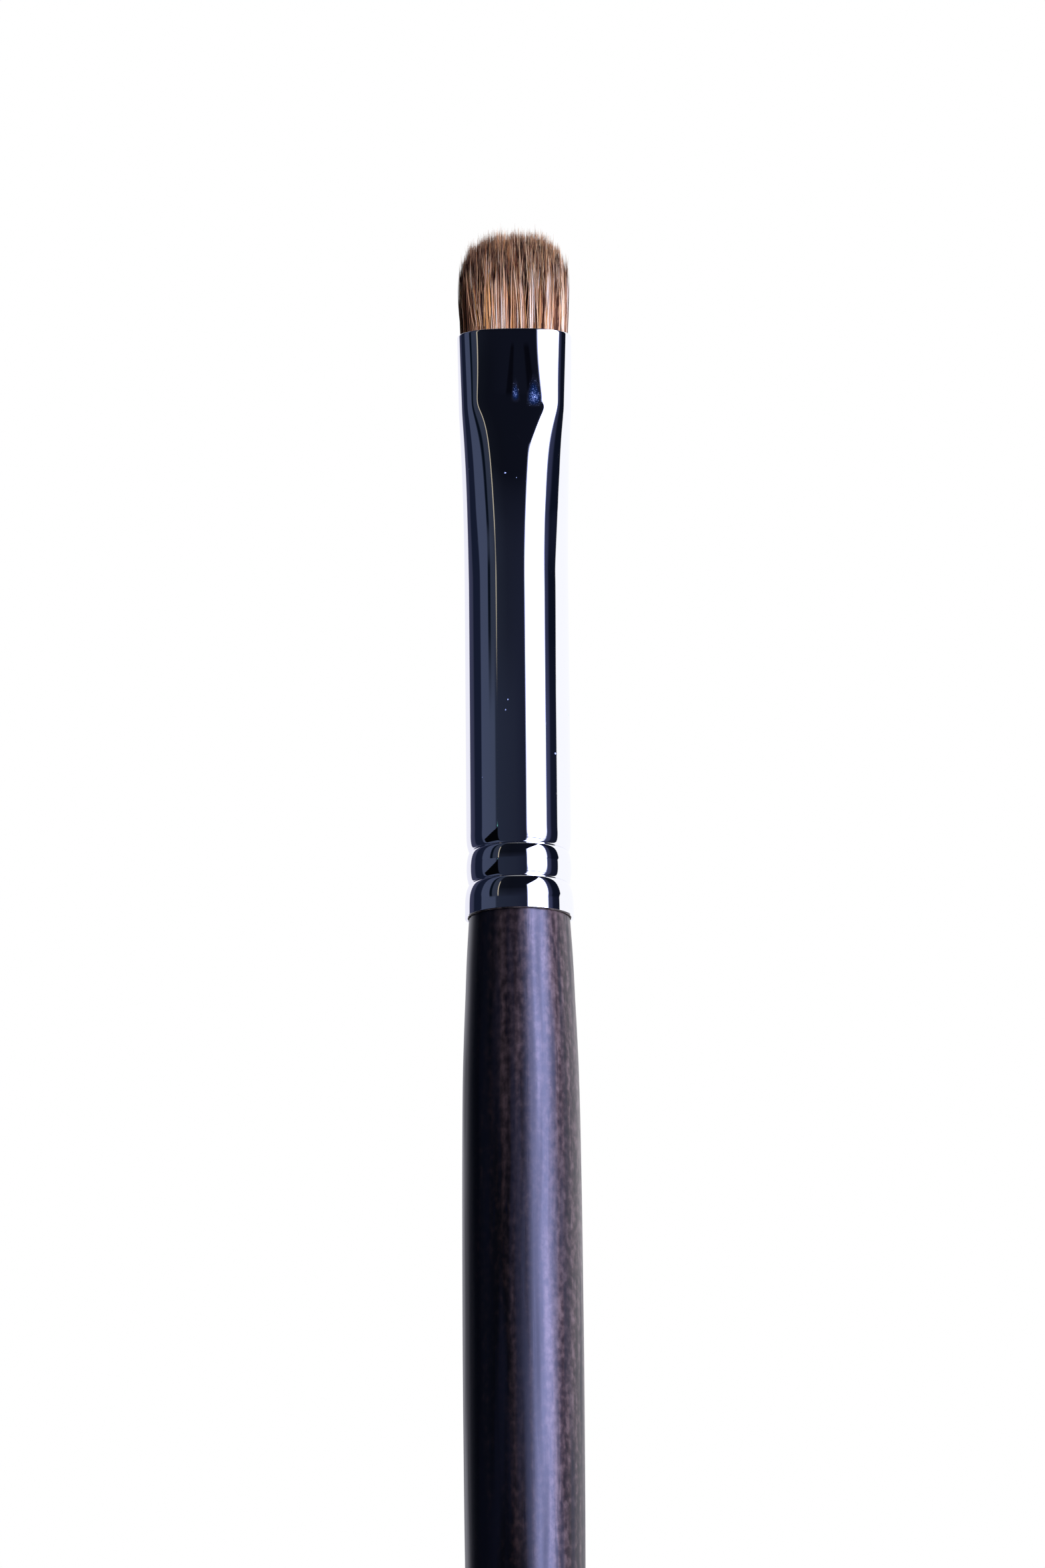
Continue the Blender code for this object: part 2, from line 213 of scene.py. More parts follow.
def draw_up(name, rings, points, close_foot=False, close_top=False):
    """Draw a circle up through rings of height and radius, as on a lathe, and return the piece."""
    free_hands()
    height, radius = rings[0]
    bpy.ops.mesh.primitive_circle_add(vertices=points, radius=radius, location=(0, 0, height),
                                      fill_type="NGON" if close_foot else "NOTHING")
    piece = bpy.context.object
    piece.name = piece.data.name = name
    bpy.ops.object.transform_apply()
    bpy.ops.object.mode_set(mode="EDIT")
    bpy.ops.mesh.select_mode(type="EDGE")
    bpy.ops.mesh.select_all(action="SELECT")
    for next_height, next_radius in rings[1:]:
        bpy.ops.mesh.extrude_edges_move(
            TRANSFORM_OT_translate={"value": (0.0, 0.0, next_height - height)})
        size = next_radius / radius
        bpy.ops.transform.resize(value=(size, size, 1.0), center_override=(0.0, 0.0, next_height))
        height, radius = next_height, next_radius
    if close_top:
        bpy.ops.mesh.edge_face_add()
    bpy.ops.mesh.select_all(action="SELECT")
    bpy.ops.mesh.normals_make_consistent()
    bpy.ops.object.mode_set(mode="OBJECT")
    return piece


def read_points(piece):
    """Vertex places of a mesh as an array."""
    places = np.empty(len(piece.data.vertices) * 3)
    piece.data.vertices.foreach_get("co", places)
    return places.reshape(-1, 3)


def write_points(piece, places):
    """Put an array of vertex places back into a mesh."""
    piece.data.vertices.foreach_set("co", np.asarray(places).ravel())
    piece.data.update()


def bring_in(name, data):
    """A new object with this data, in the scene."""
    item = bpy.data.objects.new(name, data)
    bpy.context.collection.objects.link(item)
    return item


def smooth(piece, angle=None):
    """Shade a piece smooth, with edges sharper than an angle left crisp."""
    take(piece)
    if angle is None:
        bpy.ops.object.shade_smooth()
    else:
        bpy.ops.object.shade_smooth_by_angle(angle=math.radians(angle))


def settle(piece, slot, *nodes):
    """Let a finished piece ride on the brush and stand for its CAD nodes; its slot is not used."""
    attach(piece, "root")
    if nodes:
        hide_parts(*nodes)


# Sections that the ferrule and the hair share

def slot_place(half_width, half_thickness, squareness, across, along):
    """Place points of the square from -1 to 1 in a pressed section, the edge on its outline."""
    flatness = 0.6 * np.minimum(squareness, 1.4)
    face_draw = 0.5 + 0.0375 * flatness
    face_power = 2.0 + 2.0 * flatness
    corner = 2.0 * (1.0 - face_draw) / (face_draw * face_power)
    end_draw = corner / (1.0 + corner)
    x = half_width * across * np.sqrt(1.0 - end_draw * along ** 2)
    y = half_thickness * along * np.sqrt(1.0 - face_draw * np.abs(across) ** face_power)
    return x, y


def pressed_shares(drop):
    """Shares of the mouth's width and thickness, and the squareness, at a drop below the mouth."""
    if drop <= CREASE_DROP:
        share = drop / CREASE_DROP
        return np.array((1.0 - (1.0 - CREASE_WIDTH) * share, 1.0 - (1.0 - CREASE_THICKNESS) * share,
                         MOUTH_SQUARENESS + (CREASE_SQUARENESS - MOUTH_SQUARENESS) * share ** 2))
    left = max(0.0, (ROUND_DROP - drop) / (ROUND_DROP - CREASE_DROP))
    return np.array((CREASE_WIDTH * left ** 2, CREASE_THICKNESS * left ** 4,
                     CREASE_SQUARENESS * (0.67 * left ** 14 + 0.33 * left ** 1.6)))


def pressed_section(drop):
    """Half width, half thickness and squareness of the ferrule, with the crease slightly rounded."""
    width, thickness, squareness = sum(
        weight * pressed_shares(drop + step * CREASE_ROUNDING)
        for step, weight in ((-1.0, 0.1), (-0.5, 0.25), (0.0, 0.3), (0.5, 0.25), (1.0, 0.1)))
    return (TUBE_RADIUS + (MOUTH_HALF_WIDTH - TUBE_RADIUS) * width,
            TUBE_RADIUS + (MOUTH_HALF_THICKNESS - TUBE_RADIUS) * thickness, squareness)


def ring_places(half_width, half_thickness, squareness, bluntness, turns):
    """Points of a pressed ring for turns from 0 at its end to 1 at its face, closer where it bends."""
    sweep = np.linspace(0.0, math.pi / 2.0, 400)
    across = np.cos(sweep) ** (2.0 / (2.0 + squareness))
    outer = np.clip((across - END_BLUNT_FROM) / (1.0 - END_BLUNT_FROM), 0.0, 1.0)
    power = 1.0 / (2.0 + bluntness * outer ** 2 * (3.0 - 2.0 * outer))
    x = half_width * across
    y = half_thickness * (np.sin(sweep) ** 2) ** power
    steps = np.diff(np.stack([x, y]), axis=1)
    length = np.hypot(*steps)
    heading = np.arctan2(-steps[0], steps[1])
    bend = np.concatenate([[0.0], np.abs(np.diff(heading))])
    walk = np.concatenate([[0.0], np.cumsum(length / length.sum() + bend / bend.sum())]) / 2.0
    return np.interp(turns, walk, x), np.interp(turns, walk, y)


def crimp_dip(offset, depth):
    """How far the metal is rolled in at a height above a groove's bottom."""
    reach = CRIMP_ROLL_ABOVE if offset > 0.0 else CRIMP_ROLL_BELOW
    share = max(0.0, 1.0 - abs(offset) / reach)
    return depth * (1.0 - math.sqrt(1.0 - share ** 2))


def crimped_radius(height):
    """Outer radius of the ferrule's round end at a height above its lip."""
    curl = min(1.0, max(0.0, height / LIP_FLARE - LIP_STRAIGHT) / (1.0 - LIP_STRAIGHT))
    flare = max(0.0, 1.0 - curl ** 2 - LIP_TAPER * height)
    radius = TUBE_RADIUS + (LIP_RADIUS - TUBE_RADIUS) * flare
    return radius - sum(crimp_dip(height - bottom, depth) for bottom, depth in CRIMPS)


# Ferrule

def crimp_heights():
    """Heights above the lip where the crimped end needs a ring."""
    heights = [0.0, 0.12 * MM, 0.3 * MM, 0.6 * MM, 0.9 * MM]
    for bottom, _ in CRIMPS:
        heights += [bottom - CRIMP_ROLL_BELOW * share
                    for share in (0.0, 0.01, 0.03, 0.06, 0.11, 0.18, 0.28, 0.42, 0.6, 0.8, 1.0)]
        heights += [bottom + CRIMP_ROLL_ABOVE * share
                    for share in (0.012, 0.035, 0.07, 0.12, 0.19, 0.29, 0.42, 0.6, 0.8, 1.0)]
    return sorted(heights)


def ferrule_heights(tube_top):
    """Heights above the lip of the ferrule's rings, closer at the crimps, the crease and the rim."""
    heights = crimp_heights()
    heights += [float(h) for h in np.linspace(heights[-1] + 1.0 * MM, tube_top, 14)]
    drops = [ROUND_DROP + (CREASE_DROP - ROUND_DROP) * s for s in np.linspace(0.04, 0.92, 24)]
    drops += [CREASE_DROP * s for s in (1.12, 1.06, 1.0, 0.94, 0.88, 0.8, 0.68, 0.54, 0.4, 0.26, 0.14)]
    drops += [RIM_ROLL * s for s in (1.8, 1.0, 0.7, 0.45, 0.25, 0.1, 0.0)]
    heights += [MOUTH_Z - LIP_Z - drop for drop in drops]
    return sorted(set(heights))


def press_mouth(tube):
    """Press the upper end of a round tube into its slot, with a rim that rolls slightly inwards."""
    places = read_points(tube)
    turns = np.arctan2(np.abs(places[:, 1]), np.abs(places[:, 0])) / (math.pi / 2.0)
    drops = MOUTH_Z - places[:, 2]
    for drop in sorted(set(np.round(drops[drops < ROUND_DROP], 9))):
        ring = np.abs(drops - drop) < 1e-8
        width, thickness, squareness = pressed_section(drop)
        turned_in = min(1.0, max(0.0, 1.0 - drop / RIM_ROLL))
        roll = RIM_ROLL * 0.25 * (1.0 - math.sqrt(1.0 - turned_in ** 2))
        bluntness = END_BLUNTNESS * min(1.0, (ROUND_DROP - drop) / (5.0 * MM))
        x, y = ring_places(width - roll, thickness - roll, squareness, bluntness, turns[ring])
        places[ring, 0] = x * np.sign(places[ring, 0])
        places[ring, 1] = y * np.sign(places[ring, 1])
    write_points(tube, places)


def make_ferrule():
    """Drawn tube with two rolled crimps, pressed to a rounded slot at its mouth."""
    tube_top = MOUTH_Z - LIP_Z - ROUND_DROP
    rings = [(LIP_Z + h, crimped_radius(h) if h < tube_top else TUBE_RADIUS)
             for h in ferrule_heights(tube_top)]
    tube = draw_up("ferrule_shell", rings, RING_POINTS)
    press_mouth(tube)
    apply_modifier(tube, "SOLIDIFY", thickness=TUBE_WALL, offset=-1.0)
    apply_modifier(tube, "BEVEL", width=TUBE_EDGE_BEVEL, segments=2, limit_method="ANGLE",
                   angle_limit=math.radians(60.0))
    apply_modifier(tube, "SUBSURF", levels=1)
    smooth(tube)
    settle(tube, "plated_metal", "ferrule")
    return tube


# Handle

def run_curve(table, steps):
    """Points on a smooth curve through the table's points."""
    table = [table[0], *table, table[-1]]
    points = []
    for a, b, c, d in zip(table, table[1:], table[2:], table[3:]):
        a, b, c, d = (np.array(p) for p in (a, b, c, d))
        for t in (k / steps for k in range(steps)):
            points.append(tuple(0.5 * (2 * b + (c - a) * t + (2 * a - 5 * b + 4 * c - d) * t * t
                                       + (3 * b - a - 3 * c + d) * t ** 3)))
    points.append(tuple(table[-1]))
    return points


def make_handle():
    """Turned handle with its rounded butt, and the tenon that goes into the ferrule."""
    rings = [(h * LIP_Z, r * BELLY_RADIUS) for h, r in run_curve(HANDLE_SHARES, 3)]
    rings += [(LIP_Z + h, crimped_radius(h) - TUBE_WALL - TENON_GAP)
              for h in crimp_heights()[::2] if h < TENON_STEP]
    rings += [(LIP_Z + TENON_STEP, TENON_RADIUS),
              (LIP_Z + TENON_LENGTH - TENON_CHAMFER, TENON_RADIUS),
              (LIP_Z + TENON_LENGTH, TENON_RADIUS - TENON_CHAMFER)]
    handle = draw_up("turned_handle", rings, RING_POINTS, close_foot=True, close_top=True)
    smooth(handle, 40.0)
    settle(handle, "lacquered_wood", "handle")
    return handle


def make_lip_seam():
    """Thin uneven bead of dried glue under the ferrule's lip."""
    free_hands()
    bpy.ops.mesh.primitive_torus_add(major_segments=160, minor_segments=8, location=(0, 0, LIP_Z),
                                     major_radius=SEAM_RADIUS, minor_radius=SEAM_GIRTH)
    seam = bpy.context.object
    seam.name = seam.data.name = "lip_seam"
    bpy.ops.object.transform_apply()
    draw = random.Random(11)
    waves = [(draw.randint(3, 40), draw.uniform(0.0, 6.28), draw.uniform(0.1, 0.5)) for _ in range(12)]
    places = read_points(seam)
    for index, (x, y, z) in enumerate(places):
        angle = math.atan2(y, x)
        swell = 0.75 + 0.22 * sum(a * math.sin(n * angle + p) for n, p, a in waves)
        middle = Vector((SEAM_RADIUS * math.cos(angle), SEAM_RADIUS * math.sin(angle), LIP_Z))
        places[index] = middle + (Vector((x, y, z)) - middle) * max(0.35, swell)
    write_points(seam, places)
    smooth(seam)
    settle(seam, "joint_glue")
    return seam


# Hair

def tuft_section(height):
    """Half width, half thickness and squareness of the loose hair at heights above the mouth."""
    width, thickness, squareness = pressed_section(ROOT_TOP_DROP)
    share = np.clip(height / HAIR_REACH, 0.0, 1.1)
    inset = TUBE_WALL + HAIR_GIRTH
    return ((width - inset) * (1.0 + TUFT_SWELL * share - TUFT_NARROWING * share ** 2),
            (thickness - inset) * (1.0 + TUFT_PUFF * share - TUFT_THINNING * share ** 2), squareness)


def hair_reach(across, along):
    """How high a hair ends: domed from side to side, and layered lower towards the faces."""
    dome = DOME_FOOT + DOME_RISE * np.maximum(0.0, 1.0 - np.abs(across) ** 3.2) ** 0.6
    layer = 1.0 - FACE_LAYERING * np.abs(along) ** 2.6
    return HAIR_REACH * dome * layer


def find_locks(across, along, size, draw):
    """Middle of each hair's lock in the square, and three chance values that the lock's hairs share."""
    columns, rows = size
    column = np.floor(across * columns + draw.uniform(-0.4, 0.4, across.shape))
    row = np.floor(along * rows + draw.uniform(-0.4, 0.4, across.shape))
    # the later digits of a sine scatter like chance, and are the same for the whole lock
    chances = [np.modf(np.abs(np.sin(column * a + row * b) * 43758.5453))[0]
               for a, b in ((12.9898, 78.233), (39.346, 11.135), (26.717, 53.911))]
    return (column + 0.5) / columns, (row + 0.5) / rows, chances


def model_hair():
    """One hair to copy: a three-sided shaft, full up to its middle and pointed at its tip."""
    hair = draw_up("hair_pattern", HAIR_SHAFT, 3, close_top=True)
    places = read_points(hair)
    faces = [tuple(face.vertices) for face in hair.data.polygons]
    bpy.data.objects.remove(hair, do_unlink=True)
    return places, faces


def bend_hairs(seeds, small_lock, large_lock, shares, draw, wander, clump):
    """Paths of the hairs through shares of their length: x, y and height above the mouth."""
    across, along, reach_share, lean_x, lean_y = seeds
    small_x, small_y, small = small_lock
    large_x, large_y, large = large_lock
    reach = hair_reach(across, along) * reach_share
    reach = reach * (1.0 + clump * (SMALL_ENDS * (small[0] - 0.7) + LARGE_ENDS * (large[0] - 0.7)))
    height = -HAIR_FOOT_DROP + shares * (reach + HAIR_FOOT_DROP)
    free = np.clip(height / HAIR_REACH, 0.0, 1.0)
    pull = clump * free ** 1.2
    draw_in = 0.5 * clump * free ** 2.0
    middle_x = across + (small_x - across) * pull + (large_x - across) * draw_in
    middle_y = along + (small_y - along) * pull + (large_y - along) * draw_in
    x, y = slot_place(*tuft_section(height), np.clip(middle_x, -1.0, 1.0), np.clip(middle_y, -1.0, 1.0))
    bow = np.sin(np.pi * np.clip(free * 1.1, 0.0, 1.0))
    phase = draw.uniform(0.0, 6.3, across.shape)
    wave = np.sin(phase + draw.uniform(4.0, 9.0, across.shape) * free) * free ** 0.8
    lock_lean = clump * (LARGE_LEAN * (large[1] - 0.5) + SMALL_LEAN * (small[1] - 0.5))
    sway = lean_x + lock_lean * (1.0 - np.abs(across) ** 4)
    x = x + bow * draw.normal(0.0, wander, across.shape) + sway * free ** 1.3
    x = x + wave * draw.normal(0.0, wander * 0.5, across.shape)
    y = y + bow * draw.normal(0.0, wander, across.shape) + lean_y * free ** 1.3
    if clump > 0.0:
        proud = SMALL_STANDING * (small[0] - 0.5) + LARGE_STANDING * (large[0] - 0.5)
        y = y + np.sign(along) * proud * free ** 0.7
    return x, y, height


def shade_hairs(across, small, large, draw, clump):
    """Tone of each hair, with painted shade at the left edge and painted light at the right, and its
    shade.
    """
    chance, second = draw.random(across.shape), draw.random(across.shape)
    if clump == 0.0:
        return 0.3 + 0.7 * chance, second
    tone = np.clip(0.49 + 2.2 * (0.3 * large[2] + 0.48 * small[2] + 0.22 * chance - 0.5), 0.02, 1.0)
    # painted shade and light: tones darker towards the left edge, away from the light, and lighter
    # towards the right
    edge = np.interp(across, (-1.0, -0.9, -0.6, -0.3, 0.5, 1.0), (0.4, 0.6, 0.78, 0.96, 1.06, 1.25))
    return np.clip(tone * edge, 0.0, 1.0), 0.3 * large[1] + 0.3 * small[1] + 0.4 * second


def lay_hairs(name, pattern, seeds, draw, wander, clump):
    """Copy the pattern hair to each seed, bent along its own path, as one piece.

    A seed is a place in the square, a share of the full reach, and the lean of its tip in metres.
    Hairs near each other form small locks inside larger ones, which lean, end and darken together.
    """
    shaft, faces = pattern
    seeds = [part[:, None] for part in np.array(seeds).T]
    across, along = seeds[:2]
    small_lock = find_locks(across, along, SMALL_LOCKS, draw)
    large_lock = find_locks(across, along, LARGE_LOCKS, draw)
    x, y, height = bend_hairs(seeds, small_lock, large_lock, shaft[:, 2], draw, wander, clump)
    girth = HAIR_GIRTH * draw.uniform(0.6, 1.15, across.shape) * (1.0 if clump > 0.0 else 0.6)
    tone, shade = shade_hairs(across, small_lock[2], large_lock[2], draw, clump)
    layer = np.clip((np.maximum(np.abs(along), np.abs(across) ** 3) - 0.62) / 0.34, 0.0, 1.0)
    turn = draw.uniform(0.0, 2.0 * np.pi, across.shape)
    cos, sin = np.cos(turn), np.sin(turn)
    x = x + girth * (shaft[:, 0] * cos - shaft[:, 1] * sin)
    y = y + girth * (shaft[:, 0] * sin + shaft[:, 1] * cos)
    places = np.stack([x, y, MOUTH_Z + height], axis=-1).reshape(-1, 3)
    data = bpy.data.meshes.new(name)
    data.from_pydata(places.tolist(), [],
                     [tuple(corner + hair * len(shaft) for corner in face)
                      for hair in range(len(across)) for face in faces])
    for label, values in (("along_hair", shaft[:, 2]), ("hair_height", height / HAIR_REACH),
                          ("hair_tone_and_side_shade", tone), ("hair_layer", layer), ("hair_shade", shade)):
        attribute = data.attributes.new(label, "FLOAT", "POINT")
        attribute.data.foreach_set("value", np.broadcast_to(values, height.shape).ravel())
    piece = bring_in(name, data)
    smooth(piece)
    settle(piece, "brush_hair", "hair_tuft")
    return piece


def even_seeds(count, draw, along_low, along_high, lean):
    """Evenly scattered hairs over a band of the mouth, from face to face."""
    order = np.arange(count)
    across = (order * GOLDEN_SHARE) % 1.0 * 2.0 - 1.0
    along = along_low + (order + 0.5) / count * (along_high - along_low)
    across = np.clip(across + draw.normal(0.0, 0.02, count), -0.995, 0.995)
    along = np.clip(along + draw.normal(0.0, 0.02, count), -0.995, 0.995)
    share = 1.01 - np.abs(draw.normal(0.0, 0.055, count)) + draw.uniform(-0.02, 0.012, count)
    # hairs near the two faces end at very different heights
    outer = np.clip((np.abs(along) - 0.5) / 0.4, 0.0, 1.0)
    share -= outer * draw.beta(1.2, 1.5, count) * 0.5
    lean_x, lean_y = draw.normal(0.0, lean, (2, count)) * np.where(draw.random(count) < 0.12, 2.6, 1.0)
    lean_x *= 1.0 - np.abs(across) ** 4 * 0.7
    return np.stack([across, along, share, lean_x, lean_y], axis=1)


def stray_seeds(draw):
    """Single hairs that stand off the two faces and the two edges, and a few across the left edge."""
    stray = []
    for side in (-1.0, 1.0):
        for _ in range(STRAYS_ON_FACE):
            stray.append((draw.uniform(-0.97, 0.97), side * draw.uniform(0.9, 0.99),
                          draw.uniform(0.75, 1.3), draw.normal(0.0, 0.45 * MM),
                          side * draw.uniform(0.0, 0.3 * MM)))
        for _ in range(STRAYS_ON_EDGE):
            stray.append((side * draw.uniform(0.93, 0.99), draw.uniform(-0.9, 0.9),
                          draw.uniform(0.8, 1.15), side * draw.uniform(0.0, 0.55 * MM),
                          draw.normal(0.0, 0.2 * MM)))
    for _ in range(CROSSING_HAIRS):
        stray.append((draw.uniform(-0.93, -0.6), -0.99, draw.uniform(0.55, 0.85),
                      draw.uniform(-1.3, -0.4) * MM, 0.0))
    return stray


def make_hair():
    """The tuft: four bands of hair from front to back, and single hairs that stray."""
    pattern = model_hair()
    draw = np.random.default_rng(5)
    pieces = []
    for name, low, high, count in HAIR_BANDS:
        seeds = even_seeds(count, draw, low, high, HAIR_LEAN)
        pieces.append(lay_hairs(name, pattern, seeds, draw, HAIR_WANDER, LOCK_CLUMP))
    pieces.append(lay_hairs("hair_stray", pattern, stray_seeds(draw), draw, STRAY_WANDER, 0.0))
    return pieces


def make_hair_root():
    """The bound root of the hair inside the ferrule, ribbed by the hairs in it."""
    rings = [(MOUTH_Z - drop * MM, radius * MM) for drop, radius in ROOT_STATIONS]
    root = draw_up("hair_root", rings, ROOT_RIBS, close_foot=True, close_top=True)
    draw = random.Random(3)
    ribs = [draw.uniform(0.0, ROOT_RIB) for _ in range(ROOT_RIBS)]
    places = read_points(root)
    for index, (x, y, z) in enumerate(places):
        angle = math.atan2(y, x)
        drop = MOUTH_Z - z
        rib = ribs[int(round(angle / math.tau * ROOT_RIBS)) % ROOT_RIBS]
        inset = TUBE_WALL + ROOT_GAP + rib
        # the pressed section above gives way to the round bound root below
        width, thickness, squareness = pressed_section(min(drop, ROOT_PRESSED_DROP))
        pinch = min(1.0, max(0.0, (drop - ROOT_PINCH_DROP) / ROOT_PINCH_LENGTH))
        pinch = pinch * pinch * (3.0 - 2.0 * pinch)
        radius = math.hypot(x, y) - rib
        across = max(-1.0, min(1.0, math.sqrt(2.0) * math.cos(angle)))
        along = max(-1.0, min(1.0, math.sqrt(2.0) * math.sin(angle)))
        wide = slot_place(width - inset, thickness - inset, squareness, across, along)
        tight = (radius * math.cos(angle), radius * math.sin(angle))
        places[index][:2] = [w + (r - w) * pinch for w, r in zip(wide, tight)]
    write_points(root, places)
    smooth(root, 50.0)
    settle(root, "brush_hair", "hair_tuft")
    return root


def make_ply(ply):
    """One ply of the thread, twisted round the thread's own path."""
    free_hands()
    data = bpy.data.curves.new("thread_ply", "CURVE")
    data.dimensions = "3D"
    data.bevel_depth = PLY_RADIUS
    data.bevel_resolution = 1
    data.use_fill_caps = True
    route = data.splines.new("POLY")
    route.points.add(THREAD_POINTS)
    for step, point in enumerate(route.points):
        turns = THREAD_TURNS * step / THREAD_POINTS
        turn = math.tau * turns
        twist = math.tau * (TWISTS_PER_TURN * turns + ply / PLY_COUNT)
        out = THREAD_RADIUS + PLY_OFFSET * math.cos(twist)
        height = MOUTH_Z - THREAD_FOOT_DROP + THREAD_PITCH * turns + PLY_OFFSET * math.sin(twist)
        point.co = (out * math.cos(turn), out * math.sin(turn), height, 1.0)
    take(bring_in("thread_ply", data))
    bpy.ops.object.convert(target="MESH")
    return bpy.context.object


def make_thread():
    """Thread wound round the root: three plies twisted together, in one close winding."""
    thread, *others = [make_ply(ply) for ply in range(PLY_COUNT)]
    take(thread)
    for piece in others:
        piece.select_set(True)
    bpy.ops.object.join()
    thread.name = thread.data.name = "wound_thread"
    smooth(thread)
    settle(thread, "binding_cotton", "binding_thread")
    return thread


# Tools for materials

def tint(red, green, blue):
    """A colour given as on a screen, from 0 to 255, for a shader."""
    parts = [part / 255.0 for part in (red, green, blue)]
    return tuple(p / 12.92 if p <= 0.04045 else ((p + 0.055) / 1.055) ** 2.4 for p in parts) + (1.0,)


def feed(node, inputs):
    """Give inputs of a node a value or a link each."""
    for name, value in inputs.items():
        if isinstance(value, bpy.types.NodeSocket):
            node.id_data.links.new(value, node.inputs[name])
        else:
            node.inputs[name].default_value = value


def put(tree, kind, inputs=None, **settings):
    """Add a shader node, set its options and feed its inputs."""
    made = tree.nodes.new("ShaderNode" + kind)
    for name, value in settings.items():
        setattr(made, name, value)
    feed(made, inputs or {})
    return made


def join(kind, inputs, **settings):
    """Add a shader node in the tree that its linked inputs come from."""
    tree = next(value.id_data for value in inputs.values() if isinstance(value, bpy.types.NodeSocket))
    return put(tree, kind, inputs, **settings)


def reckon(operation, *values):
    """One Math node, as its output."""
    return join("Math", dict(enumerate(values)), operation=operation).outputs[0]


def chain(operation):
    """A function that takes two or more values through Math nodes of one operation."""
    def work(first, *others):
        for other in others:
            first = reckon(operation, first, other)
        return first
    return work


times, plus, minus, largest = (chain(kind) for kind in ("MULTIPLY", "ADD", "SUBTRACT", "MAXIMUM"))


def spread(value, low, high, to_low=0.0, to_high=1.0):
    """Map a value from one range to another, kept inside it."""
    return join("MapRange", dict(enumerate((value, low, high, to_low, to_high)))).outputs[0]


def between(value, low, low_end, high_end, high):
    """A mask that rises from low to low_end and falls from high_end to high."""
    return times(spread(value, low, low_end), spread(value, high, high_end))


def mix(factor, first, second, how="MIX"):
    """Mix two colours by a factor."""
    return join("Mix", {0: factor, 6: first, 7: second}, data_type="RGBA", blend_type=how).outputs[2]


def ramp(factor, *stops):
    """Colour ramp through stops of place and colour: three parts as on a screen, or a shader's four."""
    made = join("ValToRGB", {0: factor})
    elements = made.color_ramp.elements
    while len(elements) < len(stops):
        elements.new(1.0)
    for element, (place, colour) in zip(elements, stops):
        element.position = place
        element.color = tint(*colour) if len(colour) == 3 else colour
    return made.outputs[0]


def find_place(tree):
    """Place on the piece in metres."""
    return put(tree, "TexCoord").outputs["Object"]


def axes(place):
    """The three parts of a place or direction."""
    return join("SeparateXYZ", {0: place}).outputs


def stretch(place, share):
    """A place whose height counts only a share, so that a pattern on it runs along the brush."""
    return join("Mapping", {"Vector": place, "Scale": (1.0, 1.0, share)}).outputs[0]


def noise(place, scale, detail, roughness=0.5):
    """Noise with its scale per metre."""
    inputs = {"Vector": place, "Scale": scale, "Detail": detail, "Roughness": roughness}
    return join("TexNoise", inputs).outputs[0]


def bump(height, strength, distance):
    """A normal from a height."""
    return join("Bump", {"Height": height, "Strength": strength, "Distance": distance}).outputs[0]


def new_mask_group(name, inputs):
    """An empty node group that gives a mask, its given values and its output node."""
    group = bpy.data.node_groups.new(name, "ShaderNodeTree")
    for label, value in inputs.items():
        kind = "NodeSocketVector" if isinstance(value, tuple) else "NodeSocketFloat"
        group.interface.new_socket(label, in_out="INPUT", socket_type=kind).default_value = value
    group.interface.new_socket("Mask", in_out="OUTPUT", socket_type="NodeSocketFloat")
    return group, group.nodes.new("NodeGroupInput").outputs, group.nodes.new("NodeGroupOutput")


def use_group(group, inputs):
    """Place a node group and give it this material's values."""
    return join("Group", inputs, node_tree=group).outputs[0]


def new_material(name, **constants):
    """A material with its Principled shader, whose even values stand on its own sockets."""
    material = bpy.data.materials.new(name)
    material.use_nodes = True
    shader = material.node_tree.nodes["Principled BSDF"]
    feed(shader, {label.replace("_", " "): value for label, value in constants.items()})
    return material, material.node_tree, shader


# Materials

def make_dust_group():
    """Scattered specks of dust, as a mask."""
    group, given, result = new_mask_group(
        "dust_specks",
        {"Place": (0.0, 0.0, 0.0), "Specks per metre": 900.0, "Largest size": 0.1, "Share kept": 0.3})
    cells = join("TexVoronoi", {"Vector": given["Place"], "Scale": given["Specks per metre"]})
    chance, size_share, _ = join("SeparateColor", {0: cells.outputs["Color"]}).outputs
    size = times(size_share, given["Largest size"])
    inside = reckon("LESS_THAN", cells.outputs["Distance"], size)
    kept = reckon("LESS_THAN", chance, given["Share kept"])
    feed(result, {"Mask": times(inside, kept)})
    return group


def make_scratch_group():
    """Fine hairline scratches, thin broken lines that wander along the piece, as a mask."""
    group, given, result = new_mask_group(
        "hairline_scratches",
        {"Place": (0.0, 0.0, 0.0), "Lines per metre": 500.0, "Stretch": (1.0, 1.0, 0.1),
         "Thinness": 0.015})
    drawn = join("VectorMath", {0: given["Place"], 1: given["Stretch"]}, operation="MULTIPLY")
    lines = noise(drawn.outputs[0], given["Lines per metre"], 1.0)
    away = reckon("ABSOLUTE", minus(lines, 0.5))
    line = reckon("LESS_THAN", away, given["Thinness"])
    unbroken = spread(noise(given["Place"], 420.0, 2.0), 0.56, 0.64)
    feed(result, {"Mask": times(line, unbroken)})
    return group


def press_mark_glow(x, z, front):
    """Where the press tool rubbed the front face above the crease: two drops where a blue glow and
    glints are painted.
    """
    marks = []
    for middle, foot_drop, half_width, rise, strength in PRESS_MARK_GLOWS:
        up = reckon("DIVIDE", minus(z, MOUTH_Z - foot_drop), rise)
        fading = reckon("POWER", spread(up, 1.0, 0.3), 1.6)
        half = times(spread(up, 0.0, 1.0, 1.0, 0.4), half_width)
        aside = reckon("DIVIDE", minus(x, middle), half)
        inside = spread(times(aside, aside), 1.0, 0.0)
        marks.append(times(spread(up, 0.0, 0.3), fading, inside, inside, front, strength))
    return largest(*marks)


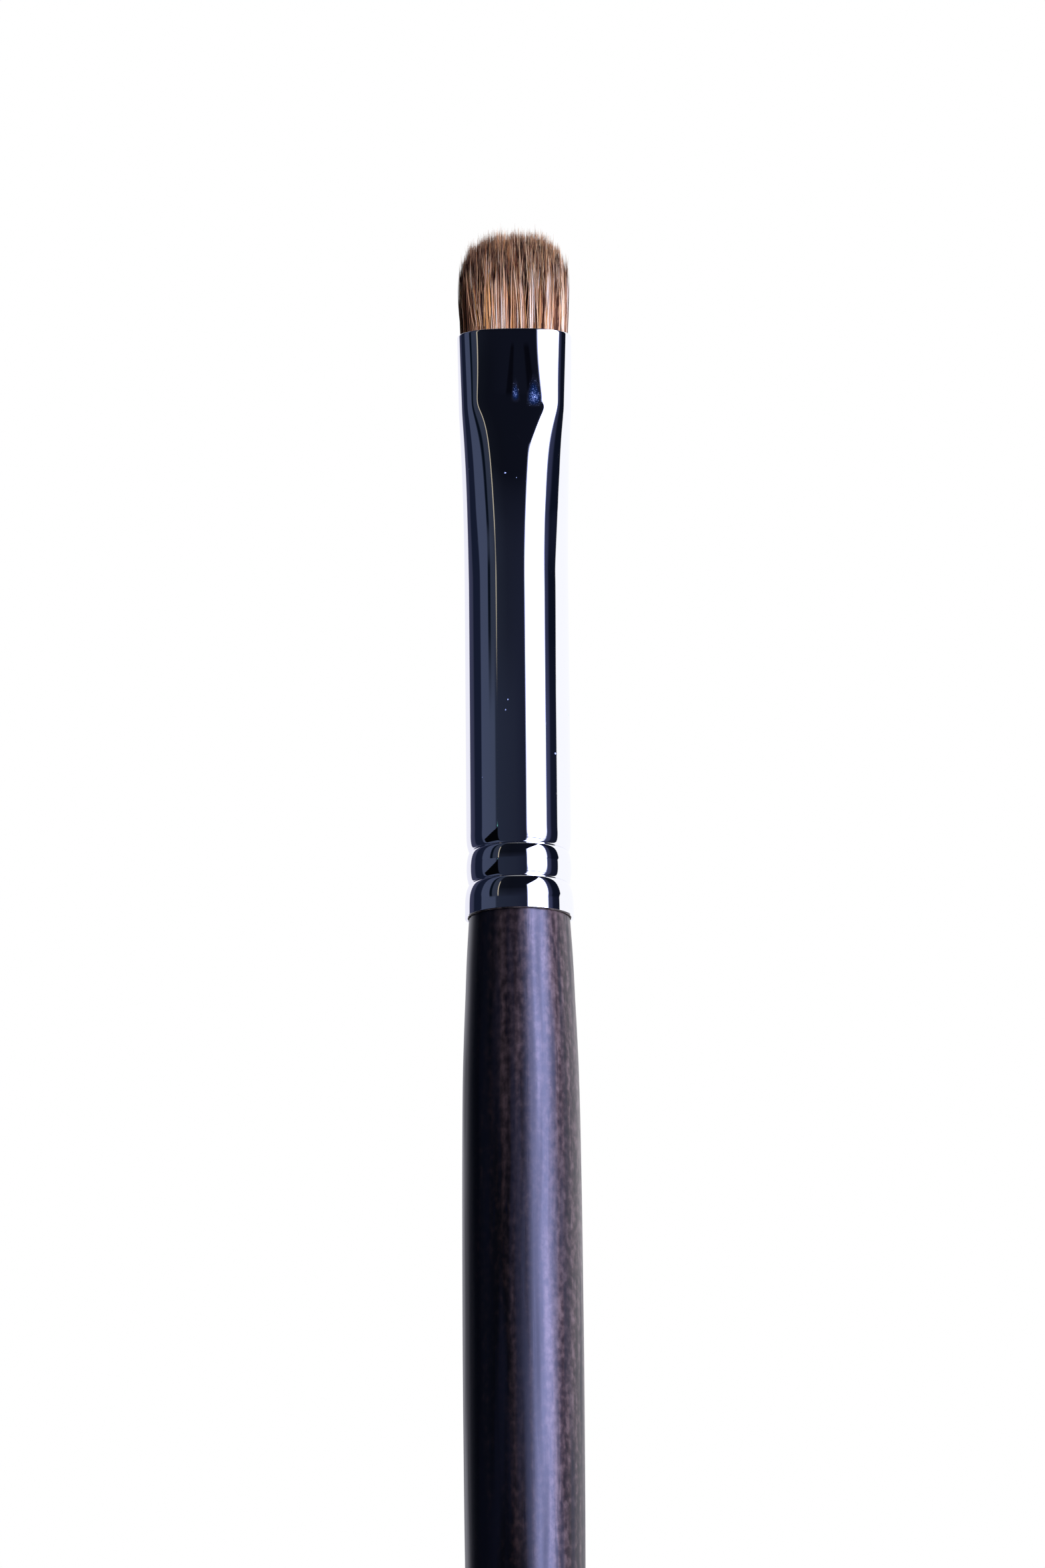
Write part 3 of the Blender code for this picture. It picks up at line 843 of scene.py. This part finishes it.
def painted_dark_streaks(x, z, front):
    """Two long streaks of painted dark reflection beside the press marks."""
    dark_streaks = []
    for top_x, foot_x, top_half, foot_half in DARK_STREAKS:
        down = spread(z, DARK_STREAK_TOP_Z, DARK_STREAK_FOOT_Z)
        middle = plus(times(down, foot_x - top_x), top_x)
        half = plus(times(down, foot_half - top_half), top_half)
        aside = reckon("DIVIDE", reckon("ABSOLUTE", minus(x, middle)), half)
        top = spread(z, DARK_STREAK_TOP_Z + 0.2 * MM, DARK_STREAK_TOP_Z - 0.3 * MM)
        foot = spread(z, DARK_STREAK_FOOT_Z - 0.2 * MM, DARK_STREAK_FOOT_Z + 0.2 * MM)
        dark_streaks.append(times(spread(aside, 1.15, 0.6), top, foot))
    return times(largest(*dark_streaks), front, 0.8)


def make_chrome(dust, scratches):
    """Bright mirror plating with hairline scratches and dust; press marks above the crease with painted
    glow and glints, painted dark reflections by them.
    """
    material, tree, shader = new_material("bright_plating", IOR=1.5)
    place = find_place(tree)
    x, y, z = axes(place)
    haze = noise(place, 160.0, 3.0)
    specks = use_group(dust, {"Place": place, "Specks per metre": 1150.0, "Largest size": 0.085,
                              "Share kept": 0.2})
    lines = use_group(scratches, {"Place": place, "Lines per metre": 700.0,
                                  "Stretch": (1.0, 1.0, 0.12), "Thinness": 0.006})
    front = spread(y, 0.2 * MM, -0.2 * MM)
    marks = press_mark_glow(x, z, front)
    # painted glints: fine pale points on the press marks, joined below with the real dust
    glint_noise = noise(stretch(place, 0.7), 28000.0, 1.0)
    painted_glints = spread(plus(glint_noise, times(marks, 0.24)), 0.73, 0.88)
    painted_glints = times(painted_glints, spread(marks, 0.02, 0.12))
    dust_and_glints = largest(specks, painted_glints)
    dark_streaks = painted_dark_streaks(x, z, front)
    # painted reflection: two long dark streaks darken the plating's colour
    plating = mix(dark_streaks, tint(248, 248, 252), tint(146, 136, 138))
    # painted reflection: the press marks take a blue glow of the softbox's light
    plating = mix(spread(marks, 0.0, 0.4), plating, tint(64, 116, 196))
    nonmetal_dust_and_glow = largest(times(dust_and_glints, 0.85), times(reckon("POWER", marks, 1.9), 0.3))
    rough = plus(spread(haze, 0.35, 0.7, 0.02, 0.045), times(lines, 0.05))
    feed(shader, {"Base Color": mix(dust_and_glints, plating, tint(206, 220, 252)),
                  "Metallic": minus(1.0, nonmetal_dust_and_glow),
                  "Roughness": plus(rough, times(dust_and_glints, 0.4))})
    return material


def make_wood(dust):
    """Dark straight-grained hardwood, satin lacquered: one flank black as painted shade, the other lit
    brown as painted light.
    """
    material, tree, shader = new_material("dark_lacquered_wood", IOR=1.6,
                                          Specular_Tint=(0.8, 0.8, 1.0, 1.0))
    place = find_place(tree)
    sway = join("TexNoise", {"Vector": place, "Scale": 26.0, "Detail": 2.0}).outputs["Color"]
    drift = join("VectorMath", {0: sway, 1: (2.2 * MM, 2.2 * MM, 0.0)}, operation="MULTIPLY")
    bent = join("VectorMath", {0: drift.outputs[0], 1: place}, operation="ADD").outputs[0]
    bands = noise(stretch(bent, 0.035), 520.0, 3.0, 0.55)
    fine = noise(stretch(bent, 0.035), 2600.0, 2.0)
    pores = spread(noise(stretch(bent, 0.06), 5200.0, 1.0), 0.62, 0.7)
    clouds = noise(stretch(bent, 0.7), 2400.0, 3.0)
    veins = spread(noise(stretch(bent, 0.03), 1500.0, 1.0), 0.48, 0.68)
    tone = plus(times(bands, 0.62), times(fine, 0.38), spread(clouds, 0.3, 0.7, -0.15, 0.15))
    # painted shade and light: a near-black ramp for the left flank, away from the light, a brown one
    # for the lit right flank
    shaded_flank = ramp(tone, (0.35, (2, 2, 2)), (0.5, (8, 6, 5)), (0.62, (24, 16, 13)),
                 (0.75, (44, 30, 24)))
    brown = ramp(tone, (0.32, (32, 21, 20)), (0.45, (62, 46, 43)),
                 (0.58, (94, 75, 70)), (0.75, (124, 103, 98)))
    # the border between the painted shade and the lit flank leans along the handle and follows the
    # grain
    x, y, z = axes(place)
    across = plus(x, times(largest(y, 0.0), 0.8), spread(z, 66.0 * MM, LIP_Z, -1.0 * MM, 0.9 * MM),
                  times(minus(bands, 0.5), 3.0 * MM))
    wood = mix(spread(across, -1.1 * MM, 2.4 * MM), shaded_flank, brown)
    dark = largest(times(pores, 0.5), times(veins, 0.7))
    specks = use_group(dust, {"Place": place, "Specks per metre": 700.0, "Largest size": 0.05,
                              "Share kept": 0.15})
    matt = plus(spread(bands, 0.36, 0.62, 0.34, 0.29), times(veins, 0.13), times(specks, 0.3))
    feed(shader, {"Base Color": mix(dark, wood, tint(8, 9, 20)),
                  "Roughness": matt,
                  "Normal": bump(minus(fine, pores), 0.05, 0.02 * MM)})
    return material


def make_hair_material():
    """Natural hair: each hair has its own brown, light at its foot and darker above, with painted shade
    and light.
    """
    material, tree, shader = new_material("brown_hair", IOR=1.4, Specular_IOR_Level=0.15)
    along, height, tone, shade, layer = (
        put(tree, "Attribute", attribute_name=name).outputs["Fac"]
        for name in ("along_hair", "hair_height", "hair_tone_and_side_shade", "hair_shade", "hair_layer"))
    foot = ramp(tone, (0.0, (52, 30, 20)), (0.14, (112, 66, 42)), (0.3, (186, 126, 82)),
                (0.46, (238, 188, 142)), (0.58, (228, 156, 70)), (0.7, (252, 212, 160)),
                (0.86, (255, 228, 190)), (1.0, (255, 234, 204)))
    upper = ramp(tone, (0.0, (30, 13, 8)), (0.3, (56, 27, 19)), (0.54, (86, 46, 31)),
                 (0.68, (128, 74, 44)), (0.8, (206, 132, 70)), (0.91, (244, 186, 120)),
                 (1.0, (250, 210, 156)))
    # where the light foot gives way to the dark stretch differs from lock to lock
    rise = minus(height, plus(times(shade, 0.62), 0.17))
    # painted shade: inner hairs take the darker colours, darkening the gaps between the front hairs
    inner = spread(layer, 0.0, 0.7, 0.8, 0.0)
    colour = mix(largest(spread(rise, -0.1, 0.14), inner), foot, upper)
    # painted light: pale golden tips stand in for light shining through them
    tip = spread(along, 0.9, 1.0, 0.0, 0.55)
    feed(shader, {"Base Color": mix(tip, colour, tint(232, 180, 130)),
                  "Roughness": spread(shade, 0.0, 1.0, 0.36, 0.55)})
    return material


def make_root_material():
    """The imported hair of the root: upright streaks of brown."""
    material, tree, shader = new_material("packed_root_hair", Roughness=0.6)
    streaks = noise(stretch(find_place(tree), 0.03), 9000.0, 2.0)
    brown = ramp(streaks, (0.3, (40, 28, 22)), (0.5, (96, 70, 52)), (0.7, (150, 116, 88)))
    feed(shader, {"Base Color": brown, "Normal": bump(streaks, 0.5, 0.05 * MM)})
    return material


def make_cotton():
    """Matt cotton thread with its fibres."""
    material, tree, shader = new_material("twisted_cotton", Sheen_Weight=0.3, Sheen_Roughness=0.5)
    fibres = noise(find_place(tree), 16000.0, 3.0)
    feed(shader, {"Base Color": ramp(fibres, (0.3, (176, 160, 132)), (0.7, (228, 218, 196))),
                  "Roughness": spread(fibres, 0.0, 1.0, 0.75, 0.95),
                  "Normal": bump(fibres, 0.5, 0.03 * MM)})
    return material


def make_resin():
    """Cast amber resin with clouds and small bubbles."""
    material, tree, shader = new_material("cast_resin", IOR=1.55, Coat_Weight=0.5, Coat_Roughness=0.08)
    place = find_place(tree)
    clouds = noise(place, 700.0, 4.0)
    cells = join("TexVoronoi", {"Vector": place, "Scale": 2600.0}).outputs["Distance"]
    bubbles = spread(cells, 0.22, 0.14)
    amber = ramp(clouds, (0.3, (150, 96, 34)), (0.55, (196, 142, 66)),
                 (0.75, (222, 180, 110)))
    feed(shader, {"Base Color": mix(times(bubbles, 0.5), amber, tint(240, 220, 170)),
                  "Roughness": spread(clouds, 0.3, 0.7, 0.18, 0.36),
                  "Normal": bump(bubbles, 0.4, 0.04 * MM)})
    return material


def make_glue(name, pale, dark, gloss, matt):
    """Dried glue, uneven in colour and roughness."""
    material, tree, shader = new_material(name)
    lumps = noise(find_place(tree), 2400.0, 4.0)
    feed(shader, {"Base Color": ramp(lumps, (0.3, dark), (0.7, pale)),
                  "Roughness": spread(lumps, 0.3, 0.7, gloss, matt),
                  "Normal": bump(lumps, 0.6, 0.06 * MM)})
    return material


def dress(piece, material):
    """Give a piece one material."""
    piece.data.materials.clear()
    piece.data.materials.append(material)


# Studio

def make_floor():
    """Plain pale floor under the brush, seen but not mirrored in the metal."""
    free_hands()
    bpy.ops.mesh.primitive_circle_add(vertices=128, radius=FLOOR_RADIUS, fill_type="NGON")
    floor = bpy.context.object
    floor.name = floor.data.name = "floor"
    material, tree, shader = new_material("pale_floor", Roughness=0.9)
    place = find_place(tree)
    clouds = noise(place, 3.0, 2.0)
    feed(shader, {"Base Color": ramp(clouds, (0.3, (246, 244, 222)), (0.7, (250, 248, 225)))})
    # the camera sees it paler, and white far out, so that it has no edge
    away = join("VectorMath", {0: place}, operation="LENGTH").outputs["Value"]
    camera_ray = put(tree, "LightPath").outputs["Is Camera Ray"]
    paler = times(camera_ray, spread(away, 0.2, 1.6, 0.4, 1.0))
    glow = put(tree, "Emission", {"Color": WHITE, "Strength": 1.0}).outputs[0]
    seen = join("MixShader", {0: paler, 1: shader.outputs[0], 2: glow}).outputs[0]
    feed(tree.nodes["Material Output"], {"Surface": seen})
    dress(floor, material)
    floor.visible_glossy = False
    floor.visible_diffuse = False


def at(degrees):
    """Share of a whole turn for a direction: 0 degrees towards the camera, 90 to its right."""
    return degrees / 360.0 + 0.5


def round_ramp(share, *stops):
    """Colours round the room, through stops of degrees and colour."""
    return ramp(share, *((at(degrees), colour) for degrees, colour in stops))


def push_outward(share, height):
    """Higher up, everything stands a little further out to the sides."""
    still, left, right = ((part, part, part, 1.0) for part in (0.5, 0.56, 0.32))
    push = round_ramp(share, (-136, still), (-110, left), (-75, left), (-40, still), (55, still),
                      (96, right), (110, right), (130, still))
    reach = times(spread(height, 0.256, 0.285), 24.0 / 360.0)
    return plus(share, times(minus(push, 0.5), reach))


def paint_walls(share, height):
    """The dark room between two light walls, one band of colours low down and one higher up."""
    navy, slate, black = (22, 28, 46), (64, 72, 95), (6, 13, 23)
    left = ((-180, LEFT_WALL), (-133.4, LEFT_WALL), (-132.4, (64, 66, 92)),
            (-115, (52, 56, 77)), (-111.5, navy), (-89.2, navy), (-87.2, slate))
    right = ((95.6, RIGHT_WALL), (180, RIGHT_WALL))
    lower = round_ramp(share, *left, (-52.8, (62, 70, 91)), (-49.8, (36, 42, 58)),
                       (-8, (33, 38, 54)), (14, (27, 31, 49)), (62, (30, 34, 52)),
                       (66, (60, 65, 94)), (73, (54, 58, 86)), (77, (22, 26, 43)),
                       (94.4, (18, 22, 38)), *right)
    upper = round_ramp(share, *left, (-67.2, slate), (-65.8, black), (-60.8, black),
                       (-59.2, (47, 54, 70)), (-48, (47, 53, 69)), (-45.5, (33, 38, 51)),
                       (-20, (27, 31, 45)), (14, (28, 32, 49)), (62, (28, 32, 49)),
                       (66, (48, 53, 80)), (72, (44, 48, 72)), (75, (13, 18, 32)),
                       (94.4, (12, 17, 31)), *right)
    return mix(spread(height, 0.252, 0.264), lower, upper)


def add_stand(room, turn, height):
    """A black stand low on the left, with a slanting top."""
    top = spread(turn, at(-82), at(-47), -0.1, 0.2)
    below = spread(minus(top, height), -0.01, 0.01)
    sides = between(turn, at(-84), at(-82), at(-47.5), at(-46))
    stand = times(below, sides, spread(height, -0.5, -0.45))
    return mix(stand, room, tint(3, 4, 6))


def dim_middle(room, share, height):
    """The room's middle is darker higher up."""
    inner = times(spread(share, at(-47), at(-45)), reckon("LESS_THAN", share, at(62)))
    dim = times(spread(height, 0.265, 0.3, 1.0, 0.72), spread(height, 0.3, 0.4, 1.0, 0.5))
    dim = plus(times(inner, minus(dim, 1.0)), 1.0)
    dim_grey = join("CombineColor", {0: dim, 1: dim, 2: dim}).outputs[0]
    return mix(1.0, room, dim_grey, "MULTIPLY")


def add_light_line(room, share, height, middle, half, foot, foot_end, top, colour):
    """A narrow upright line of light, which fades in from its foot to foot_end."""
    away = reckon("ABSOLUTE", minus(share, at(middle)))
    line = times(spread(away, half / 360.0, half / 720.0),
                 between(height, foot, foot_end, top * 0.9, top))
    return mix(line, room, colour)


def softbox_glow(turn, share, height):
    """The tall softbox on the right, its top edge rising towards the brush's side, with soft edges."""
    sides = between(share, at(16), at(22.5), at(59.4), at(65.9))
    top = spread(turn, at(20), at(69), 0.5, 0.86)
    below_top = spread(minus(height, top), 0.03, -0.03)
    table_edge = reckon("ABSOLUTE", plus(height, 0.3))
    return times(reckon("POWER", sides, 2.0), below_top,
                 spread(table_edge, 0.012, 0.04, 0.01, 1.0), spread(height, -0.97, -0.93),
                 spread(height, -0.1, 0.08, 0.32, 1.0))


def make_room():
    """White ground behind, dark room in front with a tall softbox: the world by direction.

    A height here is the upward part of a direction of length 1.
    """
    world = bpy.data.worlds.new("studio")
    bpy.context.scene.world = world
    world.use_nodes = True
    tree = world.node_tree
    tree.nodes.clear()
    x, y, height = axes(put(tree, "TexCoord").outputs["Generated"])
    angle = reckon("ARCTAN2", x, times(y, -1.0))
    turn = plus(reckon("DIVIDE", angle, math.tau), 0.5)
    share = push_outward(turn, height)
    room = paint_walls(share, height)
    room = add_stand(room, turn, height)
    room = dim_middle(room, share, height)
    # each light line: middle and half width in degrees, heights of its foot and top, colour
    for line in ((-47.5, 1.0, 0.2, 0.206, 0.23, tint(110, 190, 184)),
                 (-46.2, 1.15, 0.257, 0.271, 0.66, tint(196, 186, 164))):
        room = add_light_line(room, share, height, *line)
    room = mix(spread(height, 0.93, 0.97, 0.0, 0.4), room, RIGHT_WALL)
    softbox = times(softbox_glow(turn, share, height), SOFTBOX_RADIANCE)
    around = join("Background", {"Color": room, "Strength": 1.0}).outputs[0]
    strip = join("Background", {"Color": SOFTBOX_COLOUR, "Strength": softbox}).outputs[0]
    lit = join("AddShader", {0: around, 1: strip}).outputs[0]
    # the camera sees plain white behind the brush
    ray = put(tree, "LightPath").outputs
    seen = largest(ray["Is Camera Ray"], ray["Is Transmission Ray"])
    shown = put(tree, "Background", {"Color": WHITE, "Strength": 1.0}).outputs[0]
    join("OutputWorld", {"Surface": join("MixShader", {0: seen, 1: lit, 2: shown}).outputs[0]})


def make_fill():
    """Weak wide lamp above the camera, left out of the mirror image in the metal."""
    lamp = bpy.data.lights.new("fill_lamp", "AREA")
    lamp.shape, lamp.size = "SQUARE", FILL_SIZE
    lamp.energy = FILL_RADIANCE * math.pi * FILL_SIZE ** 2
    holder = bring_in("fill_lamp", lamp)
    away = Vector(FILL_SIDE).normalized()
    holder.matrix_world = (Matrix.Translation(Vector(FILL_AIM) + away * FILL_DISTANCE)
                           @ away.to_track_quat("Z", "Y").to_matrix().to_4x4())
    holder.visible_camera = False
    holder.visible_glossy = False


def make_camera():
    """Camera low in front of the brush, looking up at the ferrule, with a slight roll."""
    rise = math.radians(CAMERA_RISE)
    forward = Vector((0.0, math.cos(rise), math.sin(rise)))
    camera = bpy.data.cameras.new("camera")
    camera.lens = CAMERA_LENS
    camera.clip_start = 0.01
    holder = bring_in("camera", camera)
    turn = (forward.to_track_quat("-Z", "Y").to_matrix().to_4x4()
            @ Matrix.Rotation(math.radians(CAMERA_ROLL), 4, "Z"))
    holder.matrix_world = Matrix.Translation(Vector(CAMERA_AIM) - forward * CAMERA_DISTANCE) @ turn
    bpy.context.scene.camera = holder


# All pieces, dressed and lit

dust_group = make_dust_group()
wood = make_wood(dust_group)
hair_material = make_hair_material()
seam_glue = make_glue("seam_glue", tint(120, 104, 92), tint(30, 24, 22), 0.4, 0.7)
film_glue = make_glue("film_glue", tint(226, 212, 180), tint(180, 160, 120), 0.35, 0.6)

dress(make_ferrule(), make_chrome(dust_group, make_scratch_group()))
dress(make_handle(), wood)
dress(make_lip_seam(), seam_glue)
for hairs in make_hair():
    dress(hairs, hair_material)
dress(make_hair_root(), make_root_material())
dress(make_thread(), make_cotton())
dress(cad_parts["root_glue"], make_resin())
dress(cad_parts["tenon_glue"], film_glue)

make_floor()
make_room()
make_fill()
make_camera()

bpy.context.scene.view_settings.view_transform = "Standard"
